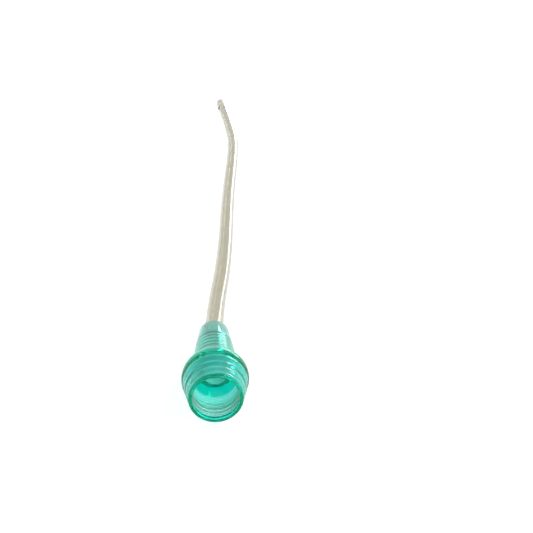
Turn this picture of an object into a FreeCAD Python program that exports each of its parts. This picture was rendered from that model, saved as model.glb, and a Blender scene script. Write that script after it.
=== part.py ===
import FreeCAD, Part
import math
import os
import Sketcher

# Nelaton catheter: a clear flexible tube with a closed round tip and two side eyes,
# bonded into the socket of a green moulded funnel that takes the drainage connector.
# It lies on a table as it comes to rest: the funnel on its bulge and on the round of its
# hub end, the tube flat on the table beyond. +Z is up and +Y runs from the mouth to the tip.
# The origin is on the table, under the middle of the funnel.
# Stations are measured along the funnel's own axis from the face of its mouth, in mm.

doc = FreeCAD.newDocument("nelaton_catheter")

# Driving dimensions
SIZES = [
    ("funnel_length", 30.5, "mouth face to hub end"),
    ("mouth_outer_dia", 11.5, "outside of the lip, before its edge is rounded"),
    ("mouth_wall", 0.75, "thickness of the wall at the mouth"),
    ("mouth_bore_depth", 8.6, "length of the bore that the connector pushes into"),
    ("lead_in", 0.2, "bevel of the lip's inner edge, for the connector to enter by"),
    ("lip_land", 0.15, "flat ring between that bevel and the round outside it"),
    ("bulge_dia", 15.3, "where flare and shoulder would meet"),
    ("bulge_station", 8.6, "place of that corner"),
    ("bulge_round", 4.0, "round of the bulge"),
    ("neck_dia", 10.7, "foot of the shoulder"),
    ("neck_station", 13.2, "place of that foot"),
    ("hub_dia", 7.6, "narrow end of the funnel"),
    ("floor_hole_dia", 5.6, "hole in the middle of the bore's sloping floor"),
    ("floor_hole_station", 10.2, "place of that hole's edge"),
    ("throat_station", 11.3, "where the hole has narrowed to the passage"),
    ("socket_depth", 6.5, "how far the tube reaches into the hub"),
    ("hub_land", 0.25, "flat ring that the hub end keeps around the tube"),
    ("tube_outer_dia", 4.7, "14 on the French scale"),
    ("tube_wall", 0.8, "wall of the tube and of its closed tip"),
    ("eye_length", 4.0, "length of a side eye along the tube"),
    ("eye_width", 2.2, "width of a side eye across the tube"),
    ("near_eye_place", 6.5, "middle of the first eye, back from the start of the round tip"),
    ("far_eye_place", 11.2, "middle of the second eye, on the other side"),
    ("mouth_bore_dia", "=mouth_outer_dia - 2 * mouth_wall", "that bore"),
    ("lip_outer_round", "=mouth_wall - lead_in - lip_land", "round of the lip's outer edge"),
    ("passage_dia", "=tube_outer_dia - 2 * tube_wall", "the passage, as wide as the tube's bore"),
    ("hub_round", "=(hub_dia - tube_outer_dia) / 2 - hub_land", "the hub end's outer edge"),
]
sheet = doc.addObject("Spreadsheet::Sheet", "sizes")
for row, (alias, value, note) in enumerate(SIZES, start=1):
    sheet.set(f"A{row}", alias)
    sheet.set(f"B{row}", str(value))
    sheet.set(f"C{row}", note)
    sheet.setAlias(f"B{row}", alias)
doc.recompute()


def size(alias):
    """One driving dimension, as a plain number in mm."""
    return float(sheet.get(alias))


def origin_plane(body, role):
    """One of the body's own base planes."""
    return next(f for f in body.Origin.OriginFeatures if f.Role == role)


def corner_round(corner, before, after, radius):
    """The round at a corner between two straight sides: where it starts, its middle, its end."""
    back = (before - corner).normalize()
    ahead = (after - corner).normalize()
    half_angle = back.getAngle(ahead) / 2
    centre = corner + (back + ahead).normalize() * (radius / math.sin(half_angle))
    reach = radius / math.tan(half_angle)
    return corner + back * reach, centre, corner + ahead * reach


def corner_loop(sketch, corners):
    """A closed loop of straight sides, each corner held by its radius and station.

    A corner with a round becomes an arc that touches both sides, and a construction point
    keeps the place where the sides would meet.
    """
    places = [FreeCAD.Vector(radius, station, 0) for _, _, _, radius, station, _ in corners]
    rounds = {}
    for side, corner in enumerate(corners):
        round_name = corner[-1]
        if round_name:
            after = places[(side + 1) % len(places)]
            rounds[side] = corner_round(places[side], places[side - 1], after, size(round_name))
    for side, place in enumerate(places):
        following = (side + 1) % len(places)
        start = rounds[side][2] if side in rounds else place
        end = rounds[following][0] if following in rounds else places[following]
        sketch.addGeometry(Part.LineSegment(start, end), False)
    for side, (name, radius_rule, station_rule, radius, station, round_name) in enumerate(corners):
        before = (side - 1) % len(corners)
        held, held_end = side, 1
        if round_name:
            first, centre, last = rounds[side]
            middle = centre + (places[side] - centre).normalize() * size(round_name)
            arc = sketch.addGeometry(Part.Arc(first, middle, last), False)
            starts_first = sketch.getPoint(arc, 1).distanceToPoint(first) < 1e-6
            ends = (1, 2) if starts_first else (2, 1)
            sketch.addConstraint(Sketcher.Constraint("Tangent", before, 2, arc, ends[0]))
            sketch.addConstraint(Sketcher.Constraint("Tangent", arc, ends[1], side, 1))
            index = sketch.addConstraint(Sketcher.Constraint("Radius", arc, size(round_name)))
            sketch.renameConstraint(index, round_name)
            sketch.setExpression(f"Constraints.{round_name}", f"sizes.{round_name}")
            held = sketch.addGeometry(Part.Point(places[side]), True)
            sketch.addConstraint(Sketcher.Constraint("PointOnObject", held, 1, before))
            sketch.addConstraint(Sketcher.Constraint("PointOnObject", held, 1, side))
        else:
            sketch.addConstraint(Sketcher.Constraint("Coincident", before, 2, side, 1))
        index = sketch.addConstraint(
            Sketcher.Constraint("DistanceX", -1, 1, held, held_end, radius))
        sketch.renameConstraint(index, name + "_radius")
        sketch.setExpression(f"Constraints.{name}_radius", radius_rule)
        if station_rule is None:
            sketch.addConstraint(Sketcher.Constraint("PointOnObject", held, held_end, -1))
        else:
            index = sketch.addConstraint(
                Sketcher.Constraint("DistanceY", -1, 1, held, held_end, station))
            sketch.renameConstraint(index, name + "_station")
            sketch.setExpression(f"Constraints.{name}_station", station_rule)


def ring_edge(shape, radius, station):
    """Name of the circular edge at that radius and station."""
    def miss(edge):
        centre = edge.Curve.Center
        return abs(edge.Curve.Radius - radius) + abs(centre.y - station)
    rings = [(n, e) for n, e in enumerate(shape.Edges, start=1) if isinstance(e.Curve, Part.Circle)]
    rings = [(n, e) for n, e in rings if abs(abs(e.Curve.Axis.y) - 1) < 1e-6]
    number, edge = min(rings, key=lambda ring: miss(ring[1]))
    if miss(edge) > 0.01:
        raise RuntimeError(f"no ring edge of radius {radius} at station {station}")
    return f"Edge{number}"


# Funnel connector: one moulded piece, turned about its own axis, which is the body's Y axis
funnel = doc.addObject("PartDesign::Body", "funnel_connector")
funnel.Label = "funnel_connector"

section = funnel.newObject("Sketcher::SketchObject", "funnel_section")
section.AttachmentSupport = (origin_plane(funnel, "XY_Plane"), [""])
section.MapMode = "FlatFace"

socket_floor = size("funnel_length") - size("socket_depth")
# (name, radius rule, station rule, radius, station, round)
corner_loop(section, [
    ("lip_inner", "sizes.mouth_bore_dia / 2", None, size("mouth_bore_dia") / 2, 0, None),
    ("lip_outer", "sizes.mouth_outer_dia / 2", None, size("mouth_outer_dia") / 2, 0, None),
    ("bulge", "sizes.bulge_dia / 2", "sizes.bulge_station",
     size("bulge_dia") / 2, size("bulge_station"), "bulge_round"),
    ("neck", "sizes.neck_dia / 2", "sizes.neck_station",
     size("neck_dia") / 2, size("neck_station"), None),
    ("hub", "sizes.hub_dia / 2", "sizes.funnel_length",
     size("hub_dia") / 2, size("funnel_length"), None),
    ("socket_mouth", "sizes.tube_outer_dia / 2", "sizes.funnel_length",
     size("tube_outer_dia") / 2, size("funnel_length"), None),
    ("socket_floor", "sizes.tube_outer_dia / 2", "sizes.funnel_length - sizes.socket_depth",
     size("tube_outer_dia") / 2, socket_floor, None),
    ("passage", "sizes.passage_dia / 2", "sizes.funnel_length - sizes.socket_depth",
     size("passage_dia") / 2, socket_floor, None),
    ("throat", "sizes.passage_dia / 2", "sizes.throat_station",
     size("passage_dia") / 2, size("throat_station"), None),
    ("floor_hole", "sizes.floor_hole_dia / 2", "sizes.floor_hole_station",
     size("floor_hole_dia") / 2, size("floor_hole_station"), None),
    ("bore_floor", "sizes.mouth_bore_dia / 2", "sizes.mouth_bore_depth",
     size("mouth_bore_dia") / 2, size("mouth_bore_depth"), None),
])
doc.recompute()

turned = funnel.newObject("PartDesign::Revolution", "funnel_turned")
turned.Profile = section
turned.ReferenceAxis = (section, ["V_Axis"])
turned.Angle = 360.0
doc.recompute()

# The lip and the hub end: rounded outside, and the bore's edge bevelled
END_EDGES = [
    ("hub_round", "PartDesign::Fillet", "Radius", "hub_dia", size("funnel_length")),
    ("lip_outer_round", "PartDesign::Fillet", "Radius", "mouth_outer_dia", 0),
    ("lead_in", "PartDesign::Chamfer", "Size", "mouth_bore_dia", 0),
]
previous = turned
for size_name, kind, how_large, diameter, station in END_EDGES:
    worked = funnel.newObject(kind, f"{size_name}_edge")
    edge_name = ring_edge(previous.Shape, size(diameter) / 2, station)
    worked.Base = (previous, [edge_name])
    worked.setExpression(how_large, f"sizes.{size_name}")
    doc.recompute()
    previous = worked

# How the funnel lies: the table touches the round of the bulge and the round of the hub end


def outer_corner(diameter, station):
    """A corner of the funnel's outline, as a point of radius and station."""
    return FreeCAD.Vector(size(diameter) / 2, station, 0)


lip_corner = outer_corner("mouth_outer_dia", 0)
bulge_corner = outer_corner("bulge_dia", size("bulge_station"))
neck_corner = outer_corner("neck_dia", size("neck_station"))
hub_corner = outer_corner("hub_dia", size("funnel_length"))
mouth_face = FreeCAD.Vector(0, 0, 0)
hub_face = FreeCAD.Vector(0, size("funnel_length"), 0)
bulge_middle = corner_round(bulge_corner, lip_corner, neck_corner, size("bulge_round"))[1]
hub_middle = corner_round(hub_corner, neck_corner, hub_face, size("hub_round"))[1]
lip_middle = corner_round(lip_corner, mouth_face, bulge_corner, size("lip_outer_round"))[1]

run = hub_middle.y - bulge_middle.y
drop = bulge_middle.x - hub_middle.x
tilt = math.atan2(drop, run)
tilt += math.asin((size("bulge_round") - size("hub_round")) / math.hypot(run, drop))
mouth_height = (
    bulge_middle.y * math.sin(tilt)
    + bulge_middle.x * math.cos(tilt)
    + size("bulge_round")
)


def forward(point, side):
    """How far a round's middle lies beyond the mouth's middle; side is 1 above the axis."""
    return point.y * math.cos(tilt) + side * point.x * math.sin(tilt)


nearest = forward(lip_middle, -1) - size("lip_outer_round")
farthest = forward(hub_middle, 1) + size("hub_round")
mouth_back = (nearest + farthest) / 2
funnel.Placement = FreeCAD.Placement(
    FreeCAD.Vector(0, -mouth_back, mouth_height),
    FreeCAD.Rotation(FreeCAD.Vector(1, 0, 0), -math.degrees(tilt)),
)
doc.recompute()


def on_axis(station):
    """The point of the funnel's axis at a station, as the funnel lies."""
    return funnel.Placement.multVec(FreeCAD.Vector(0, station, 0))


# Tube: from the socket's floor straight out of the hub, down to the table, then along it
tube_radius = size("tube_outer_dia") / 2
touch_down = on_axis((mouth_height - tube_radius) / math.sin(tilt))
# (sideways, forward of the point where the axis comes down to the table)
LAID_ROUTE = [
    (4.3, 32.0),
    (7.2, 80.0),
    (11.7, 128.0),
    (13.1, 160.0),
    (8.6, 219.0),
]
route = [on_axis(socket_floor), touch_down]
route += [FreeCAD.Vector(x, touch_down.y + y, tube_radius) for x, y in LAID_ROUTE]
ARC_SHARE = 0.45  # of the shorter run beside a corner


def rounded_path(points):
    """Straight runs joined by arcs that touch them, and the radii of those arcs."""
    edges, radii = [], []
    start = points[0]
    for before, corner, after in zip(points, points[1:], points[2:]):
        back = (before - corner).normalize()
        ahead = (after - corner).normalize()
        cut = ARC_SHARE * min(before.distanceToPoint(corner), after.distanceToPoint(corner))
        half_turn = (math.pi - back.getAngle(ahead)) / 2
        radius = cut / math.tan(half_turn)
        inward = (back + ahead).normalize()
        arc_middle = corner + inward * (radius / math.cos(half_turn) - radius)
        arc = Part.Arc(corner + back * cut, arc_middle, corner + ahead * cut)
        edges.append(Part.LineSegment(start, arc.StartPoint).toShape())
        edges.append(arc.toShape())
        radii.append(radius)
        start = arc.EndPoint
    edges.append(Part.LineSegment(start, points[-1]).toShape())
    return Part.Wire(edges), radii


path_wire, radii = rounded_path(route)
path = doc.addObject("Part::Feature", "tube_path")
path.Shape = path_wire
path_edges = [f"Edge{n}" for n in range(1, len(path_wire.Edges) + 1)]
start_turn = FreeCAD.Rotation(FreeCAD.Vector(0, 0, 1), route[1] - route[0])
end_turn = FreeCAD.Rotation(FreeCAD.Vector(0, 0, 1), route[-1] - route[-2])


def swept_round(name, radius_rule):
    """A round rod along the whole path, closed by half a ball at the tip end."""
    ring = doc.addObject("Part::Circle", name + "_ring")
    ring.setExpression("Radius", radius_rule)
    ring.Placement = FreeCAD.Placement(route[0], start_turn)
    rod = doc.addObject("Part::Sweep", name + "_rod")
    rod.Sections = [ring]
    rod.Spine = (path, path_edges)
    rod.Solid = True
    rod.Frenet = False
    half_ball = doc.addObject("Part::Sphere", name + "_end")
    half_ball.setExpression("Radius", radius_rule)
    half_ball.Angle1 = 0
    half_ball.Angle2 = 90
    half_ball.Placement = FreeCAD.Placement(route[-1], end_turn)
    whole = doc.addObject("Part::Fuse", name)
    whole.Base = rod
    whole.Tool = half_ball
    return whole


outside = swept_round("tube_outside", "sizes.tube_outer_dia / 2")
lumen = swept_round("tube_lumen", "sizes.tube_outer_dia / 2 - sizes.tube_wall")
walled = doc.addObject("Part::Cut", "tube_walled")
walled.Base = outside
walled.Tool = lumen

# Side eyes: two oval openings, each through one wall only, on opposite sides of the tip
along = (route[-1] - route[-2]).normalize()
sideways = along.cross(FreeCAD.Vector(0, 0, 1)).normalize()


def side_eye(name, place, side):
    """An oval punch from the lumen's middle out through the wall; side is 1 or -1."""
    oval = doc.addObject("Part::Ellipse", name + "_outline")
    oval.setExpression("MajorRadius", "sizes.eye_length / 2")
    oval.setExpression("MinorRadius", "sizes.eye_width / 2")
    outward = sideways * side
    frame = FreeCAD.Rotation(along, outward.cross(along), outward, "XZY")
    oval.Placement = FreeCAD.Placement(route[-1] - along * place, frame)
    punch = doc.addObject("Part::Extrusion", name)
    punch.Base = oval
    punch.DirMode = "Normal"
    punch.setExpression("LengthFwd", "sizes.tube_outer_dia")
    punch.Solid = True
    return punch


near_eye = side_eye("near_eye", size("near_eye_place"), 1)
far_eye = side_eye("far_eye", size("far_eye_place"), -1)
one_eye = doc.addObject("Part::Cut", "tube_one_eye")
one_eye.Base = walled
one_eye.Tool = near_eye
tube = doc.addObject("Part::Cut", "catheter_tube")
tube.Label = "catheter_tube"
tube.Base = one_eye
tube.Tool = far_eye
doc.recompute()

# Checks before anything is written
for item in doc.Objects:
    if "Invalid" in item.State or "Error" in item.State:
        raise RuntimeError(f"{item.Name} failed: {item.State}")
SUB_PARTS = [funnel, tube]
for piece in SUB_PARTS:
    if piece.Shape.isNull() or not piece.Shape.isValid() or len(piece.Shape.Solids) != 1:
        raise RuntimeError(f"{piece.Label} is not one valid solid")

bore_radius = tube_radius - size("tube_wall")
ring_area = math.pi * (tube_radius ** 2 - bore_radius ** 2)
tip_volume = math.pi * 2 / 3 * (tube_radius ** 3 - bore_radius ** 3)
expected = ring_area * path_wire.Length + tip_volume
print("arc radii", [round(radius) for radius in radii])
print(f"tube path {path_wire.Length:.1f} mm, with its tip {path_wire.Length + tube_radius:.1f} mm")
print(f"walled tube {walled.Shape.Volume:.1f} mm3, section times length {expected:.1f} mm3")
print(f"eyes take {walled.Shape.Volume - tube.Shape.Volume:.1f} mm3")
print(f"funnel {funnel.Shape.Volume:.1f} mm3, tilt {math.degrees(tilt):.2f} degrees")
print(f"mouth at y {-mouth_back:.3f}, z {mouth_height:.3f}; touch-down at y {touch_down.y:.3f}")
if abs(walled.Shape.Volume - expected) > 0.01 * expected:
    raise RuntimeError("the tube's volume doesn't match its section and length")

os.makedirs("parts", exist_ok=True)
for piece in SUB_PARTS:
    piece.Shape.exportStep(f"parts/{piece.Label}.step")
    box = piece.Shape.BoundBox
    print(f"{piece.Label}: {box.XLength:.2f} x {box.YLength:.2f} x {box.ZLength:.2f} mm")
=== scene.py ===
# %% [markdown]
# # A nelaton catheter, dressed in clear plastic
# The object is a short, soft, see-through tube with a closed round tip. Its other end is
# bonded into a green moulded funnel, which a drainage bag's connector pushes into. Both
# parts are clear, so most of what the eye sees is light that bends through them: the inside
# of the funnel counts for as much as its outside.
#
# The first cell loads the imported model, which is the frame that every piece has to fit.

# %% Load the frame
import math
import bmesh
import bpy
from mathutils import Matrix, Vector


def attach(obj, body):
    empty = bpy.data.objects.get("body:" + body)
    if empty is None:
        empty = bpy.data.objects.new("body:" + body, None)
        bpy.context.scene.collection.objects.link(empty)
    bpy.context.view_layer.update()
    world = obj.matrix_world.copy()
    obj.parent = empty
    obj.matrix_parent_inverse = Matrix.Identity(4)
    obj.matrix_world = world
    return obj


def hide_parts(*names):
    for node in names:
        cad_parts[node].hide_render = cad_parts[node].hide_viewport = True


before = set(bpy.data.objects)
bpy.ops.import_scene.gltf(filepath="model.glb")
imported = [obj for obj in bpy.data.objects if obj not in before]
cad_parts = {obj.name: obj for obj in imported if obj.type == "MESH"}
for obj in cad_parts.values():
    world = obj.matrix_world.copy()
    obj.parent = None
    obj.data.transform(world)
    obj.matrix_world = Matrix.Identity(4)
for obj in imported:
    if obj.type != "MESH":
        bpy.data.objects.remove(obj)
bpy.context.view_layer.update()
MM = 0.001
scene = bpy.context.scene

# %% [markdown]
# ## The camera
# The picture looks down at the funnel's mouth, with the tube running away to the back. The
# tube is the same thickness all along, so the way it narrows in the picture tells how far
# away each part of it is. That gives the camera's place, and the angle follows from the
# curve of the mouth's rim.

# %% Camera
CAMERA_PLACE = (1.031, -110.89, 95.5)  # mm
LOOKS_DOWN = 30.0  # degrees below level
TURNED = -5.6  # degrees about the vertical
FOCAL_LENGTH = 41.27  # mm, for Blender's own 36 mm sensor
NEAREST_SEEN = 0.005  # m

camera_data = bpy.data.cameras.new("camera")
camera_data.lens = FOCAL_LENGTH
camera_data.clip_start = NEAREST_SEEN
camera = bpy.data.objects.new("camera", camera_data)
camera.location = Vector(CAMERA_PLACE) * MM
camera.rotation_euler = (math.radians(90 - LOOKS_DOWN), 0, math.radians(TURNED))
scene.collection.objects.link(camera)
scene.camera = camera
print("camera at", tuple(round(c, 4) for c in camera.location))

# %% [markdown]
# ## The line that the tube follows
# A limp tube leaves the funnel straight, comes down to the table and lies there in one long
# easy curve. Seven points are enough for it. A NURBS spline pulls a smooth line past them,
# so there is no corner anywhere, where straight runs joined by arcs would look like wire.

# %% The tube's route
TUBE_RADIUS = 2.35  # mm
TUBE_WALL = 0.8  # mm
DRAWN_STEPS = 24  # points drawn for each stretch of the spline
ROUTE = [  # mm: in the socket, down on the table, then along it
    (0.0, 8.8493, 4.7456),
    (0.0, 23.0691, 2.35),
    (4.3, 55.0691, 2.35),
    (7.2, 103.0691, 2.35),
    (11.7, 151.0691, 2.35),
    (13.1, 183.0691, 2.35),
    (9.0, 236.0, 2.35),
]


def smooth_line(points):
    """The points, in metres, of the smooth line that a NURBS spline draws past the route."""
    curve = bpy.data.curves.new("route", "CURVE")
    curve.dimensions = "3D"
    curve.resolution_u = DRAWN_STEPS
    spline = curve.splines.new("NURBS")
    spline.points.add(len(points) - 1)
    for control, point in zip(spline.points, points):
        control.co = (*(Vector(point) * MM), 1)
    spline.order_u = 3
    spline.use_endpoint_u = True
    holder = bpy.data.objects.new("route", curve)
    scene.collection.objects.link(holder)
    drawn = holder.evaluated_get(bpy.context.evaluated_depsgraph_get())
    mesh = bpy.data.meshes.new_from_object(drawn)
    line = [vertex.co.copy() for vertex in mesh.vertices]
    bpy.data.objects.remove(holder)
    bpy.data.meshes.remove(mesh)
    return line


tube_line = smooth_line(ROUTE)
tube_length = sum((b - a).length for a, b in zip(tube_line, tube_line[1:]))
print(f"{len(tube_line)} points, {tube_length / MM:.1f} mm of tube without its tip")

# %% [markdown]
# ## A hollow tube
# The tube has a bore, and the bore is what draws the bright and dark lines along a clear
# tube. A curve with a bevel would be solid, so the mesh is made here ring by ring: along the
# inside from the tip to the open end, then back along the outside, with half a ball at the
# tip, inside and out.

# %% From points to an object
SHARP_FROM = 35  # degrees, the least bend that stays a sharp edge


def finished_mesh(name, verts, faces):
    """A smooth-shaded object from bare points and faces, with its true corners kept sharp."""
    mesh = bpy.data.meshes.new(name)
    mesh.from_pydata([tuple(v) for v in verts], [], faces)
    work = bmesh.new()
    work.from_mesh(mesh)
    bmesh.ops.recalc_face_normals(work, faces=work.faces)
    work.to_mesh(mesh)
    work.free()
    made = bpy.data.objects.new(name, mesh)
    scene.collection.objects.link(made)
    shade_smooth(made)
    return made


def shade_smooth(piece):
    """Smooth shading, except across sharp edges."""
    bpy.ops.object.select_all(action="DESELECT")
    bpy.context.view_layer.objects.active = piece
    piece.select_set(True)
    bpy.ops.object.shade_smooth_by_angle(angle=math.radians(SHARP_FROM))
    piece.select_set(False)


print("edges stay sharp from", SHARP_FROM, "degrees")

# %% Rings along the line
AROUND = 64  # points in a ring
TIP_STEP = 7.5  # degrees between the rings of the round tip


def ring(point, direction, radius):
    """A ring of points around a point of the line, square to the line."""
    side = direction.cross(Vector((0, 0, 1))).normalized()
    up = side.cross(direction)
    turns = [2 * math.pi * k / AROUND for k in range(AROUND)]
    return [point + (side * math.cos(t) + up * math.sin(t)) * radius for t in turns]


def directions(line):
    """The direction of the line at each of its points."""
    last = len(line) - 1
    return [(line[min(i + 1, last)] - line[max(i - 1, 0)]).normalized() for i in range(last + 1)]


def half_ball(line, radius):
    """Rings that close a tube of that radius beyond the line's end, the smallest last."""
    end, ahead = line[-1], directions(line)[-1]
    steps = round(90 / TIP_STEP)
    angles = [math.radians(TIP_STEP * k) for k in range(1, steps)]
    rings = [ring(end + ahead * radius * math.sin(a), ahead, radius * math.cos(a)) for a in angles]
    return rings, end + ahead * radius


print(AROUND, "points in a ring")


# %% The tube
def hollow_tube(name, line, outer, wall):
    """A tube along the line, open at its start and closed by a hollow half ball at its end."""
    inner = outer - wall
    ways = directions(line)
    inner_ball, inner_pole = half_ball(line, inner)
    outer_ball, outer_pole = half_ball(line, outer)
    rings = list(reversed(inner_ball))
    rings += [ring(p, d, inner) for p, d in reversed(list(zip(line, ways)))]
    rings += [ring(p, d, outer) for p, d in zip(line, ways)]
    rings += outer_ball
    verts = [v for each in rings for v in each]
    faces = []
    for row in range(len(rings) - 1):
        for k in range(AROUND):
            a, b = row * AROUND + k, row * AROUND + (k + 1) % AROUND
            faces.append((a, b, b + AROUND, a + AROUND))
    last_row = (len(rings) - 1) * AROUND
    for pole, start in ((inner_pole, 0), (outer_pole, last_row)):
        verts.append(pole)
        for k in range(AROUND):
            faces.append((len(verts) - 1, start + k, start + (k + 1) % AROUND))
    return finished_mesh(name, verts, faces)


tube = hollow_tube("clear_tube", tube_line, TUBE_RADIUS * MM, TUBE_WALL * MM)
print("tube:", len(tube.data.vertices), "points,", len(tube.data.polygons), "faces")

# %% [markdown]
# ## The side eyes
# Urine enters through two oval holes near the closed tip, one on each side, and each goes
# through one wall only. They are cut with an oval punch, as in the factory. A Boolean
# modifier does that, and it is applied so that the mesh itself has the holes.

# %% Cut the eyes
EYE_LENGTH = 4.0  # mm, along the tube
EYE_WIDTH = 2.2  # mm
EYES = [(6.5, 1), (11.2, -1)]  # mm back from the start of the round tip, and the side


def place_back(line, distance):
    """The point that far back from the line's end, and the line's direction there."""
    left = distance
    for a, b in reversed(list(zip(line, line[1:]))):
        step = (b - a).length
        if left <= step:
            return b + (a - b) * (left / step), (b - a).normalized()
        left -= step
    raise ValueError("the line is shorter than that")


def oval_punch(place, along, outward):
    """An oval bar from the tube's middle out through its wall."""
    across = outward.cross(along)
    verts = []
    for depth in (0, 2 * TUBE_RADIUS * MM):
        for k in range(AROUND):
            turn = 2 * math.pi * k / AROUND
            reach = along * EYE_LENGTH / 2 * math.cos(turn) + across * EYE_WIDTH / 2 * math.sin(turn)
            verts.append(place + outward * depth + reach * MM)
    faces = [tuple(range(AROUND)), tuple(range(AROUND, 2 * AROUND))]
    for k in range(AROUND):
        after = (k + 1) % AROUND
        faces.append((k, after, after + AROUND, k + AROUND))
    return finished_mesh("punch", verts, faces)


for distance, which_side in EYES:
    middle, along = place_back(tube_line, distance * MM)
    outward = along.cross(Vector((0, 0, 1))).normalized() * which_side
    punch = oval_punch(middle, along, outward)
    cut = tube.modifiers.new("eye", "BOOLEAN")
    cut.object = punch
    cut.operation = "DIFFERENCE"
    bpy.context.view_layer.objects.active = tube
    bpy.ops.object.modifier_apply(modifier=cut.name)
    bpy.data.objects.remove(punch)
shade_smooth(tube)
print("tube with eyes:", len(tube.data.vertices), "points")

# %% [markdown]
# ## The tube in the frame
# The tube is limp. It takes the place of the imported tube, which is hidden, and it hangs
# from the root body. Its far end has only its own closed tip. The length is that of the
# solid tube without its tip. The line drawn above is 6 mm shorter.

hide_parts("catheter_tube")
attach(tube, "root")

# %% [markdown]
# ## The funnel
# The funnel is turned about one axis, so a lathe does it: one closed outline, spun. The
# outline goes round the lip, along the outside over the bulge and the neck to the hub, and
# back along the inside: the socket that holds the tube, the narrow passage, the sloping
# floor, and the bore that the connector pushes into.

# %% The funnel's corners
# A station is how far along the axis a place lies from the mouth. All of it is in mm.
BORE_RADIUS = 5.0
HUB_END = 30.5  # station
SOCKET_FLOOR = 24.0  # station
SOCKET_RADIUS = 2.36  # 0.01 more than the tube's, so that the two surfaces don't fall together
PASSAGE_RADIUS = TUBE_RADIUS - TUBE_WALL

# (station, radius, round)
LIP = [(0.0, BORE_RADIUS, 0.1), (0.0, 5.75, 0.5)]
OUTSIDE = [(8.6, 7.65, 4.0), (13.2, 5.35, 0.5), (HUB_END, 3.8, 1.2)]
SOCKET = [(HUB_END, SOCKET_RADIUS, 0), (SOCKET_FLOOR, SOCKET_RADIUS, 0)]
PASSAGE = [(SOCKET_FLOOR, PASSAGE_RADIUS, 0), (11.3, PASSAGE_RADIUS, 0.05)]
FLOOR = [(10.2, 2.8, 0.1), (8.6, BORE_RADIUS, 0.1)]
print(len(LIP + OUTSIDE + SOCKET + PASSAGE + FLOOR), "corners, without the grip rings")

# %% [markdown]
# ## Grip rings and ripples
# The bore isn't smooth. Fine saw-tooth rings in it hold the connector. Each tooth slopes
# like the outside below it, so light goes straight through there and the wall looks pale,
# with a thin line where each tooth ends. A smooth bore would look dark in the same place.
# The flare and the foot of the hub have shallow ripples outside, which break a highlight
# into arcs. Rings and ripples are points of the outline like any other, so they are real
# shape that light bends through, where a bump texture would only tilt the shading.

# %% Grip rings in the bore
TOOTH_PITCH = 1.0  # mm
TOOTH_HEIGHT = 0.2  # mm
TOOTH_STEP = 0.12  # mm, how much of the pitch the steep side takes
TOOTH_ROUND = 0.04  # mm
FIRST_TOOTH = 7.9  # mm, station of the deepest tooth
LAST_TOOTH = 0.9  # mm, station of the one nearest the mouth


def grip_rings():
    """Corners of the saw-tooth rings, from the floor of the bore to its mouth."""
    teeth = []
    for count in range(round((FIRST_TOOTH - LAST_TOOTH) / TOOTH_PITCH)):
        crest = FIRST_TOOTH - count * TOOTH_PITCH
        teeth.append((crest, BORE_RADIUS, TOOTH_ROUND))
        teeth.append((crest - TOOTH_STEP, BORE_RADIUS + TOOTH_HEIGHT, TOOTH_ROUND))
    return teeth + [(LAST_TOOTH, BORE_RADIUS, TOOTH_ROUND)]


print(len(grip_rings()), "corners in the grip rings")

# %% A round at each corner
ROUND_STEPS = 10  # straight stretches in each round


def rounded(corners):
    """The outline's points, with each corner turned into an arc of its own round."""
    points = []
    for i, (station, radius, bend) in enumerate(corners):
        corner = Vector((station, radius))
        if bend <= 0:
            points.append(corner)
            continue
        back = (Vector(corners[i - 1][:2]) - corner).normalized()
        ahead = (Vector(corners[(i + 1) % len(corners)][:2]) - corner).normalized()
        half = back.angle(ahead) / 2
        middle = corner + (back + ahead).normalized() * bend / math.sin(half)
        start = corner + back * bend / math.tan(half) - middle
        end = corner + ahead * bend / math.tan(half) - middle
        turn = start.angle_signed(end)
        for step in range(ROUND_STEPS + 1):
            angle = -turn * step / ROUND_STEPS
            spoke = Vector((
                start.x * math.cos(angle) - start.y * math.sin(angle),
                start.x * math.sin(angle) + start.y * math.cos(angle),
            ))
            points.append(middle + spoke)
    return points


print(ROUND_STEPS + 1, "points in each round")

# %% Ripples outside
FLARE_RIPPLES = 4
FLARE_DEPTH = 0.14  # mm
HUB_RIPPLES = 5
HUB_DEPTH = 0.08  # mm
HUB_SHARE = 0.58  # how far along the hub they go
RIPPLE_STEPS = 16  # points in each ripple


def ripples(start, end, count, deepest):
    """Points of shallow waves, all of them inwards, on the way from start to end."""
    inward = Vector((end.y - start.y, start.x - end.x)).normalized()
    waves = []
    for step in range(1, count * RIPPLE_STEPS + 1):
        depth = deepest * (1 - math.cos(2 * math.pi * step / RIPPLE_STEPS)) / 2
        waves.append(start.lerp(end, step / (count * RIPPLE_STEPS)) + inward * depth)
    return waves


def rippled(points):
    """The outline with ripples from the lip to the bulge and from the neck along the hub."""
    per_round = ROUND_STEPS + 1
    lip_end = len(LIP) * per_round
    neck_end = lip_end + 2 * per_round  # past the rounds of the bulge and the neck
    flare = ripples(points[lip_end - 1], points[lip_end], FLARE_RIPPLES, FLARE_DEPTH)
    foot, top = points[neck_end - 1], points[neck_end]
    hub = ripples(foot, foot.lerp(top, HUB_SHARE), HUB_RIPPLES, HUB_DEPTH)
    return points[:lip_end] + flare[:-1] + points[lip_end:neck_end] + hub + points[neck_end:]


outline = rippled(rounded(LIP + OUTSIDE + SOCKET + PASSAGE + FLOOR + grip_rings()))
print(len(outline), "points in the outline")

# %% Spin the funnel
TILT = 0.166905  # radians, how far the mouth is lifted
MOUTH_MIDDLE = Vector((0.0, -14.8172, 8.7328))  # mm
FUNNEL_SEGMENTS = 256

axis = Vector((0, math.cos(TILT), -math.sin(TILT)))
side = axis.cross(Vector((0, 0, 1))).normalized()
up = side.cross(axis)


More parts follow.
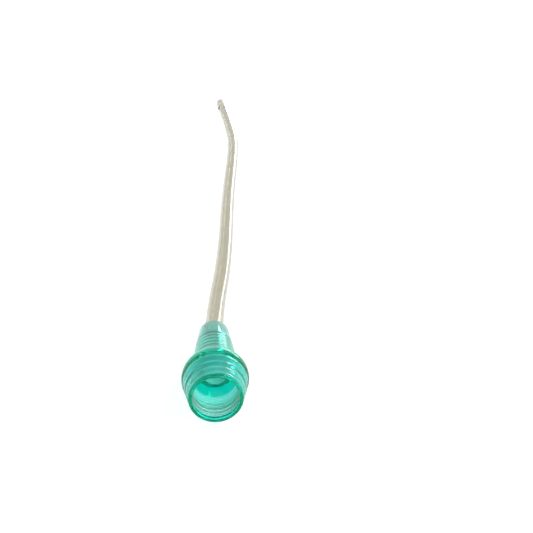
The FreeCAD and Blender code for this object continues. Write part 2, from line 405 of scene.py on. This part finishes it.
def spun(name, points):
    """The closed outline turned once about the funnel's axis."""
    verts, faces = [], []
    rows = len(points)
    for i in range(FUNNEL_SEGMENTS):
        turn = 2 * math.pi * i / FUNNEL_SEGMENTS
        outward = side * math.cos(turn) + up * math.sin(turn)
        verts += [(MOUTH_MIDDLE + axis * s + outward * r) * MM for s, r in points]
        after = (i + 1) % FUNNEL_SEGMENTS
        for k in range(rows):
            m = (k + 1) % rows
            faces.append((i * rows + k, i * rows + m, after * rows + m, after * rows + k))
    return finished_mesh(name, verts, faces)


funnel = spun("green_funnel", outline)
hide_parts("funnel_connector")
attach(funnel, "root")
print("funnel:", len(funnel.data.vertices), "points,", len(funnel.data.polygons), "faces")

# %% [markdown]
# ## Clear PVC
# The colour of a clear plastic isn't on its surface but in its depth: the further light
# goes through it, the more colour it takes. So the surface is clear and the inside absorbs.
# A path of a millimetre stays pale and one of five goes deep green. The numbers say how
# much of red, green and blue is lost in each metre. Soft PVC is a little cloudy as well, so
# some light is lost at each surface, whatever the path, and that is the body colour. The
# tint colours what the surface mirrors.
#
# A lamp's light should also come through to the table. For shadow rays the surface is a
# tinted sheet, which gives the soft shade that clear plastic has.

# %% A clear plastic
def clear_plastic(name, ior, body, tint, loss, shade):
    """A clear, coloured plastic: its material, node tree and surface shader."""
    material = bpy.data.materials.new(name)
    material.use_nodes = True
    tree = material.node_tree
    tree.nodes.clear()
    output = tree.nodes.new("ShaderNodeOutputMaterial")
    surface = tree.nodes.new("ShaderNodeBsdfPrincipled")
    surface.inputs["Base Color"].default_value = (*body, 1)
    surface.inputs["Transmission Weight"].default_value = 1
    surface.inputs["IOR"].default_value = ior
    surface.inputs["Specular Tint"].default_value = (*tint, 1)
    light_path = tree.nodes.new("ShaderNodeLightPath")
    sheet = tree.nodes.new("ShaderNodeBsdfTransparent")
    sheet.inputs["Color"].default_value = (*shade, 1)
    either = tree.nodes.new("ShaderNodeMixShader")
    tree.links.new(light_path.outputs["Is Shadow Ray"], either.inputs[0])
    tree.links.new(surface.outputs[0], either.inputs[1])
    tree.links.new(sheet.outputs[0], either.inputs[2])
    tree.links.new(either.outputs[0], output.inputs["Surface"])
    depth = tree.nodes.new("ShaderNodeVolumeAbsorption")
    most = max(loss)
    depth.inputs["Color"].default_value = (*[1 - each / most for each in loss], 1)
    depth.inputs["Density"].default_value = most
    tree.links.new(depth.outputs[0], output.inputs["Volume"])
    return material, tree, surface


clear, clear_tree, clear_surface = clear_plastic(
    "clear_pvc", ior=1.53, body=(0.74, 0.73, 0.675), tint=(1, 1, 1),
    loss=(160, 170, 230), shade=(0.88, 0.87, 0.84))
print("material:", clear.name)

# %% [markdown]
# ## Marks of making
# No real surface is perfectly smooth. The tube was pushed through a die, so its faint marks
# run along it, and the funnel has the fine unevenness of its mould. A noise texture gives
# both: stretched along the tube, and the same in every direction on the funnel. It tilts the
# surface by a hair and makes its gloss uneven.

# %% Marks along the tube
def add_marks(tree, surface, stretch, size, height, roughness_range):
    """An uneven surface, and gloss that varies with it. Size and height are in mm."""
    place = tree.nodes.new("ShaderNodeTexCoord")
    scaling = tree.nodes.new("ShaderNodeMapping")
    scaling.inputs["Scale"].default_value = stretch
    marks = tree.nodes.new("ShaderNodeTexNoise")
    marks.inputs["Scale"].default_value = 1 / (size * MM)
    marks.inputs["Detail"].default_value = 3
    tree.links.new(place.outputs["Object"], scaling.inputs["Vector"])
    tree.links.new(scaling.outputs["Vector"], marks.inputs["Vector"])
    bump = tree.nodes.new("ShaderNodeBump")
    bump.inputs["Strength"].default_value = 1
    bump.inputs["Distance"].default_value = height * MM
    tree.links.new(marks.outputs["Fac"], bump.inputs["Height"])
    tree.links.new(bump.outputs["Normal"], surface.inputs["Normal"])
    gloss = tree.nodes.new("ShaderNodeMapRange")
    gloss.inputs["To Min"].default_value = roughness_range[0]
    gloss.inputs["To Max"].default_value = roughness_range[1]
    tree.links.new(marks.outputs["Fac"], gloss.inputs["Value"])
    tree.links.new(gloss.outputs["Result"], surface.inputs["Roughness"])


def dress(piece, material):
    """Give the piece its one material."""
    piece.data.materials.clear()
    piece.data.materials.append(material)


add_marks(
    clear_tree, clear_surface, stretch=(1, 0.05, 1), size=1.2, height=0.01,
    roughness_range=(0.02, 0.04))
dress(tube, clear)
print("dressed:", tube.name)

# %% [markdown]
# ## Deeper green at the floor and the lip
# The wall is thickest round the floor of the bore. Light that has run along inside it comes
# out there, and makes that ring the deepest green of all. It comes out at the lip as well.
# Few of those long paths are found when a picture is worked out ray by ray, so floor and lip
# get a deeper colour of their own. The cone round the hole is nearly clear. The hub is
# painted greyer than the flare, a painted shade, and its end, where the clear tube fills it,
# is painted paler again, painted light for what shows through the tube. All these places are
# told by the distance from the mouth and from the axis.

# %% The funnel's plastic
WALL_GREEN = (0.77, 0.72, 0.71)

green, green_tree, green_surface = clear_plastic(
    "green_pvc", ior=1.5, body=WALL_GREEN, tint=(0.3, 0.8, 0.76),
    loss=(650, 28, 55), shade=(0.86, 0.94, 0.93))
add_marks(
    green_tree, green_surface, stretch=(1, 1, 1), size=2.5, height=0.01,
    roughness_range=(0.02, 0.05))
dress(funnel, green)
print("material:", green.name)


# %% Distances from the mouth and the axis
def from_axis(tree):
    """Nodes that give the distance from the mouth, along the axis, and from the axis."""
    place = tree.nodes.new("ShaderNodeTexCoord")
    turned = tree.nodes.new("ShaderNodeMapping")
    turned.vector_type = "TEXTURE"
    turned.inputs["Location"].default_value = MOUTH_MIDDLE * MM
    turned.inputs["Rotation"].default_value = (-TILT, 0, 0)
    turned.inputs["Scale"].default_value = (MM, MM, MM)
    tree.links.new(place.outputs["Object"], turned.inputs["Vector"])
    parts = tree.nodes.new("ShaderNodeSeparateXYZ")
    tree.links.new(turned.outputs["Vector"], parts.inputs["Vector"])
    across = tree.nodes.new("ShaderNodeCombineXYZ")
    tree.links.new(parts.outputs["X"], across.inputs["X"])
    tree.links.new(parts.outputs["Z"], across.inputs["Z"])
    distance = tree.nodes.new("ShaderNodeVectorMath")
    distance.operation = "LENGTH"
    tree.links.new(across.outputs["Vector"], distance.inputs[0])
    return parts.outputs["Y"], distance.outputs["Value"]


station, radius = from_axis(green_tree)
print("stations start at", tuple(round(c, 1) for c in MOUTH_MIDDLE), "mm")

# %% Places on the funnel
# Each pair is where a soft edge starts and ends, in mm from the mouth.
LIP_ENDS = (0.7, 1.3)
FLOOR_STARTS = (8.2, 8.8)
FLOOR_ENDS = (11.5, 12.5)
HUB_STARTS = (12.8, 13.6)  # the bulge has ended there
END_STARTS = (23.4, 24.2)  # the hub holds the tube from there on


def ramp(tree, value, low, high):
    """0 up to the low value and 1 from the high one, smooth between them."""
    step = tree.nodes.new("ShaderNodeMapRange")
    step.interpolation_type = "SMOOTHSTEP"
    step.inputs["From Min"].default_value = low
    step.inputs["From Max"].default_value = high
    tree.links.new(value, step.inputs["Value"])
    return step.outputs["Result"]


def less(tree, value, low, high):
    """1 up to the low value and 0 from the high one, smooth between them."""
    return ramp(tree, value, high, low)


def combined(tree, operation, values):
    """One value out of several, taken in turn through the same kind of Math node."""
    result = values[0]
    for value in values[1:]:
        step = tree.nodes.new("ShaderNodeMath")
        step.operation = operation
        tree.links.new(result, step.inputs[0])
        tree.links.new(value, step.inputs[1])
        result = step.outputs[0]
    return result


def product(tree, *values):
    """The product of all the values: 1 only where each of them is 1."""
    return combined(tree, "MULTIPLY", values)


past_lip = ramp(green_tree, station, *LIP_ENDS)
painted_shade_at_hub = ramp(green_tree, station, *HUB_STARTS)
painted_light_at_end = ramp(green_tree, station, *END_STARTS)
at_floor = product(
    green_tree, ramp(green_tree, station, *FLOOR_STARTS), less(green_tree, station, *FLOOR_ENDS))
print("lip, floor, hub and hub's end told apart")

# %% The green of each place
# Painted light: the lip and the floor ring get a deeper green for light that runs a long way inside
# the wall.
LIP_PAINTED_LIGHT_GREEN = (0.02, 0.7, 0.62)
FLOOR_PAINTED_LIGHT_GREEN = (0.0, 0.38, 0.3)
CONE_GREEN = (0.95, 0.95, 0.93)
# Painted shade on the hub, greyer than the flare, and painted light at its end, paler where the
# clear tube fills it.
HUB_PAINTED_SHADE_GREEN = (0.76, 0.58, 0.56)
END_PAINTED_LIGHT_GREEN = (1.0, 0.76, 0.78)
BANDS = [  # mm from the axis, at the floor
    (2.6, CONE_GREEN), (2.9, FLOOR_PAINTED_LIGHT_GREEN), (5.0, FLOOR_PAINTED_LIGHT_GREEN), (5.4, WALL_GREEN),
]
WIDEST = 8.0  # mm from the axis, wider than any part of the funnel


def mixed(tree, share, first, second):
    """A colour between two, each given as numbers or as another node's output."""
    mix = tree.nodes.new("ShaderNodeMix")
    mix.data_type = "RGBA"
    tree.links.new(share, mix.inputs["Factor"])
    for name, colour in (("A", first), ("B", second)):
        if isinstance(colour, tuple):
            mix.inputs[name].default_value = (*colour, 1)
        else:
            tree.links.new(colour, mix.inputs[name])
    return mix.outputs["Result"]


def banded(tree, value, widest, bands):
    """A colour that changes with a value, from one band to the next."""
    share = tree.nodes.new("ShaderNodeMapRange")
    share.inputs["From Max"].default_value = widest
    tree.links.new(value, share.inputs["Value"])
    colours = tree.nodes.new("ShaderNodeValToRGB")
    stops = colours.color_ramp.elements
    while len(stops) < len(bands):
        stops.new(1.0)
    for stop, (width, band_green) in zip(stops, bands):
        stop.position = width / widest
        stop.color = (*band_green, 1)
    tree.links.new(share.outputs["Result"], colours.inputs["Fac"])
    return colours.outputs["Color"]


colour = mixed(green_tree, past_lip, LIP_PAINTED_LIGHT_GREEN, WALL_GREEN)
colour = mixed(green_tree, painted_shade_at_hub, colour, HUB_PAINTED_SHADE_GREEN)
colour = mixed(green_tree, painted_light_at_end, colour, END_PAINTED_LIGHT_GREEN)
colour = mixed(green_tree, at_floor, colour, banded(green_tree, radius, WIDEST, BANDS))
green_tree.links.new(colour, green_surface.inputs["Base Color"])
print("from", LIP_PAINTED_LIGHT_GREEN, "at the lip to", END_PAINTED_LIGHT_GREEN, "at the hub's end")

# %% [markdown]
# ## Frost inside
# The lower wall of the bore looks pale and milky instead of deep green. The core pin that
# forms the inside is left matt, so that the moulding comes off it, and the inside is matt as
# well: a share of the light is scattered there instead of going straight through. The lip
# and the deep green ring of the floor are clear, and so is all of the outside.

# %% Frost in the bore, in the cone and in the hub
FROST = 0.33  # share of the light that is scattered
# Each pair is where a soft edge starts and ends: stations are in mm from the mouth, and
# widths in mm from the axis.
BORE_STARTS = (0.9, 1.6)
BORE_ENDS = (8.1, 8.6)
BORE_WIDTH = (5.25, 5.4)
CONE_STARTS = (9.6, 10.2)
CONE_ENDS = (11.1, 11.4)
CONE_WIDTH = (2.6, 2.85)
INNER_HUB_STARTS = (15.0, 16.0)
INNER_HUB_WIDTH = (2.6, 2.85)


def greatest(tree, *values):
    """The greatest of all the values: 1 where any of them is 1."""
    return combined(tree, "MAXIMUM", values)


in_bore = product(
    green_tree, ramp(green_tree, station, *BORE_STARTS),
    less(green_tree, station, *BORE_ENDS), less(green_tree, radius, *BORE_WIDTH))
in_cone = product(
    green_tree, ramp(green_tree, station, *CONE_STARTS),
    less(green_tree, station, *CONE_ENDS), less(green_tree, radius, *CONE_WIDTH))
in_hub = product(
    green_tree, ramp(green_tree, station, *INNER_HUB_STARTS),
    less(green_tree, radius, *INNER_HUB_WIDTH))
frosted = greatest(green_tree, in_bore, in_cone, in_hub)
clearness = green_tree.nodes.new("ShaderNodeMapRange")
clearness.inputs["To Min"].default_value = 1
clearness.inputs["To Max"].default_value = 1 - FROST
green_tree.links.new(frosted, clearness.inputs["Value"])
green_tree.links.new(clearness.outputs["Result"], green_surface.inputs["Transmission Weight"])
print("frost of", FROST)

# %% [markdown]
# ## Table and light
# The object lies on a white table under soft light. The table is plain white card. Where the
# camera looks at it, straight, through the plastic or in its gloss, it glows a little, so it
# reads as white while the lamps stay low enough for the plastic to keep its colour. The rest
# of what it shows is its own shade of the light, so the object's shadow stays on it.

# %% The table
TABLE_SIZE = 6.0  # m
TABLE_WHITE = (0.75, 0.75, 0.75, 1)  # as it lights the object
SEEN_WHITE = (0.35, 0.35, 0.35, 1)  # as it shows shadows
SEEN_GLOW = 0.85


def seen(tree):
    """A value that is 1 for what the camera sees straight, in gloss or through plastic."""
    light_path = tree.nodes.new("ShaderNodeLightPath")
    kinds = ("Is Camera Ray", "Is Glossy Ray", "Is Transmission Ray")
    return greatest(tree, *[light_path.outputs[kind] for kind in kinds])


bpy.ops.mesh.primitive_plane_add(size=TABLE_SIZE, location=(0, 0, 0))
table = bpy.context.object
table.name = "table_top"
white = bpy.data.materials.new("white_card")
white.use_nodes = True
tree = white.node_tree
tree.nodes.clear()
output = tree.nodes.new("ShaderNodeOutputMaterial")
lit = tree.nodes.new("ShaderNodeBsdfDiffuse")
lit.inputs["Color"].default_value = TABLE_WHITE
shaded = tree.nodes.new("ShaderNodeBsdfDiffuse")
shaded.inputs["Color"].default_value = SEEN_WHITE
glow = tree.nodes.new("ShaderNodeEmission")
glow.inputs["Strength"].default_value = SEEN_GLOW
both = tree.nodes.new("ShaderNodeAddShader")
tree.links.new(shaded.outputs[0], both.inputs[0])
tree.links.new(glow.outputs[0], both.inputs[1])
either = tree.nodes.new("ShaderNodeMixShader")
tree.links.new(seen(tree), either.inputs[0])
tree.links.new(lit.outputs[0], either.inputs[1])
tree.links.new(both.outputs[0], either.inputs[2])
tree.links.new(either.outputs[0], output.inputs["Surface"])
dress(table, white)
print("table of", TABLE_SIZE, "m")

# %% [markdown]
# ## Sky and lamps
# The sky is even and soft, and plain white where the camera sees it, straight, through the
# plastic or in its gloss. A small lamp from the right gives the shadow. The highlights on
# the hub and along the tube sit where a low, wide light far behind would be mirrored, so a
# window stands there. It is 2 m away, so that the whole tube gets it from the same side.

# %% The sky
SKY_LEVEL = 0.45  # as it lights the object
SKY_SEEN = 1.0  # white

world = bpy.data.worlds.new("studio")
world.use_nodes = True
tree = world.node_tree
background = tree.nodes["Background"]
background.inputs["Color"].default_value = (1, 1, 1, 1)
level = tree.nodes.new("ShaderNodeMapRange")
level.inputs["To Min"].default_value = SKY_LEVEL
level.inputs["To Max"].default_value = SKY_SEEN
tree.links.new(seen(tree), level.inputs["Value"])
tree.links.new(level.outputs["Result"], background.inputs["Strength"])
scene.world = world
print("sky of", SKY_LEVEL, "seen as", SKY_SEEN)

# %% Lamp and window
LAMP_POWER = 1.6  # W
LAMP_SIZE = 0.16  # m
LAMP_PLACE = (0.3, -0.02, 0.38)  # m
LAMP_FACES = (0.0, 0.0, 0.0)
WINDOW_POWER = 7.0  # W
WINDOW_SIZE = (1.2, 0.35)  # m
WINDOW_FACES = (0.0, 0.1, 0.0)  # m
WINDOW_AWAY = 2.0  # m
WINDOW_TURN = 28.0  # degrees to the right of straight behind
WINDOW_RISE = 5.0  # degrees above level


def add_lamp(name, power, size, place, facing):
    """A flat rectangular lamp, which the camera doesn't see itself."""
    data = bpy.data.lights.new(name, "AREA")
    data.shape = "RECTANGLE"
    data.energy = power
    data.size, data.size_y = size
    made = bpy.data.objects.new(name, data)
    made.location = place
    made.rotation_euler = (Vector(facing) - Vector(place)).to_track_quat("-Z", "Y").to_euler()
    made.visible_camera = False
    scene.collection.objects.link(made)


add_lamp("softbox", LAMP_POWER, (LAMP_SIZE, LAMP_SIZE), LAMP_PLACE, LAMP_FACES)
turn, rise = math.radians(WINDOW_TURN), math.radians(WINDOW_RISE)
towards = Vector((
    math.sin(turn) * math.cos(rise),
    math.cos(turn) * math.cos(rise),
    math.sin(rise),
))
window_place = Vector(WINDOW_FACES) + towards * WINDOW_AWAY
add_lamp("window", WINDOW_POWER, WINDOW_SIZE, window_place, WINDOW_FACES)
print("lamp of", LAMP_POWER, "W, window of", WINDOW_POWER, "W")

# %% [markdown]
# ## Let the light get through
# Light is thrown back and forth many times inside a clear wall before it comes out. With
# only a few bounces allowed it is lost, and those places turn black.

# %% Bounces and colour
BOUNCES = 48
BOUNCES_OF_A_KIND = 24

scene.cycles.max_bounces = BOUNCES
scene.cycles.glossy_bounces = BOUNCES_OF_A_KIND
scene.cycles.transmission_bounces = BOUNCES_OF_A_KIND
scene.view_settings.view_transform = "Standard"
print("up to", scene.cycles.max_bounces, "bounces")

# %% The end
bpy.context.view_layer.update()
